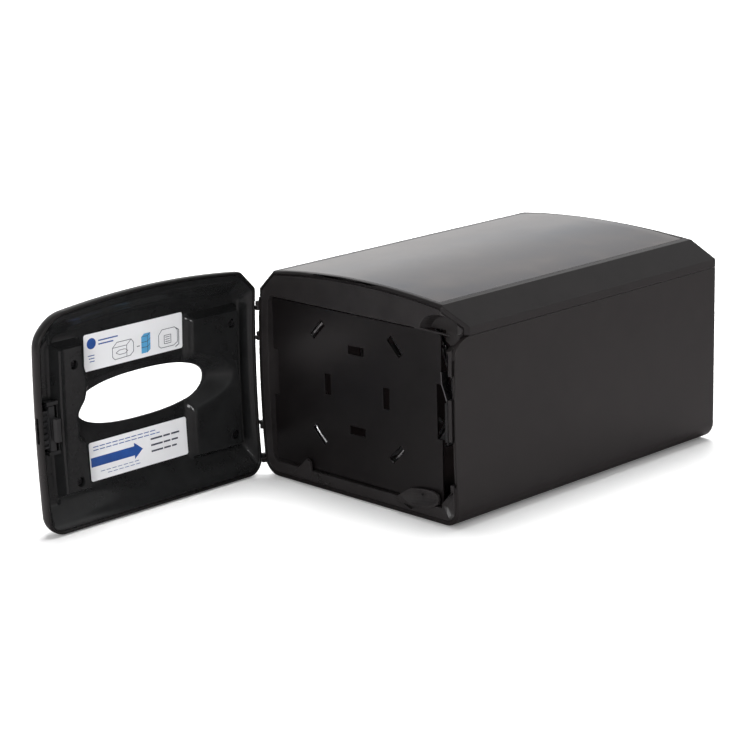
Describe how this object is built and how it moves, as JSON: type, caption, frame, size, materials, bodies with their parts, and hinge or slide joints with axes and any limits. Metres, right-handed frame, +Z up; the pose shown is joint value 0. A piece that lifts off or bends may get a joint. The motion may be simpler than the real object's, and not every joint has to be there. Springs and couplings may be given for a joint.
{
  "type": "napkin dispenser",
  "caption": "Black tabletop dispenser for folded napkins: crowned body with smoked top window, side-hinged front door with oval mouth, sprung pusher plate.",
  "frame": {"origin": "centre of the underside of the anti-slip mat, under the middle of the body", "axes": "+X to the right seen from the front, +Y from the front door to the rear, +Z up; the door stands open at the left front corner"},
  "size_m": [0.2152, 0.475, 0.1587],
  "materials": {
    "housing_black": "satin moulded black",
    "cover_black": "satin moulded black",
    "bezel_black": "satin moulded black",
    "door_black": "gloss black",
    "window_smoke": "gloss smoked",
    "card_grey": "uncoated",
    "mat_rubber": "matt",
    "plate_black": "satin black",
    "nylon_black": "fine grain",
    "spring_steel": "drawn wire",
    "screw_dark": "blackened",
    "latch_grey": "fine grain",
    "label_white": "satin"
  },
  "bodies": {
    "body": {"housing_shell": "housing_black", "top_cover": "cover_black", "display_window": "window_smoke", "display_card": "card_grey", "front_bezel": "bezel_black", "rear_panel": "housing_black", "anti_slip_mat": "mat_rubber", "slide_rail_left": "nylon_black", "slide_rail_right": "nylon_black", "spring_seat": "nylon_black", "pusher_spring": "spring_steel", "latch_catch": "latch_grey", "catch_leaf": "spring_steel", "rear_screw_1": "screw_dark", "hinge_pin_1": "screw_dark", "rear_screw_2": "screw_dark", "hinge_pin_2": "screw_dark", "rear_screw_3": "screw_dark", "hinge_pin_3": "screw_dark", "rear_screw_4": "screw_dark", "hinge_pin_4": "screw_dark"},
    "pusher": {"pusher_plate": "plate_black", "slide_shoe": "nylon_black"},
    "door": {"door_shell": "door_black", "door_inner_panel": "door_black", "instruction_label": "label_white", "data_label": "label_white", "latch_guide": "door_black", "latch_spring": "spring_steel", "door_screw_1": "screw_dark", "door_screw_2": "screw_dark", "door_screw_3": "screw_dark", "door_screw_4": "screw_dark"},
    "latch": {"latch_slide": "latch_grey"}
  },
  "joints": [
    {"name": "door_hinge", "type": "hinge", "parent": "body", "child": "door", "pos_m": [-0.098, -0.13975, 0], "axis": [0, 0, -1], "range_deg": [-90, 20]},
    {"name": "pusher_slide", "type": "slide", "parent": "body", "child": "pusher", "axis": [0, 1, 0], "range_m": [0, 0.215], "stiffness_N_per_m": 18, "springref_m": -0.12, "deforming": ["pusher_spring"]},
    {"name": "latch_slide_travel", "type": "slide", "parent": "door", "child": "latch", "axis": [0, 1, 0], "range_m": [0, 0.0028], "stiffness_N_per_m": 600, "springref_m": -0.002, "deforming": ["latch_spring"]}
  ]
}
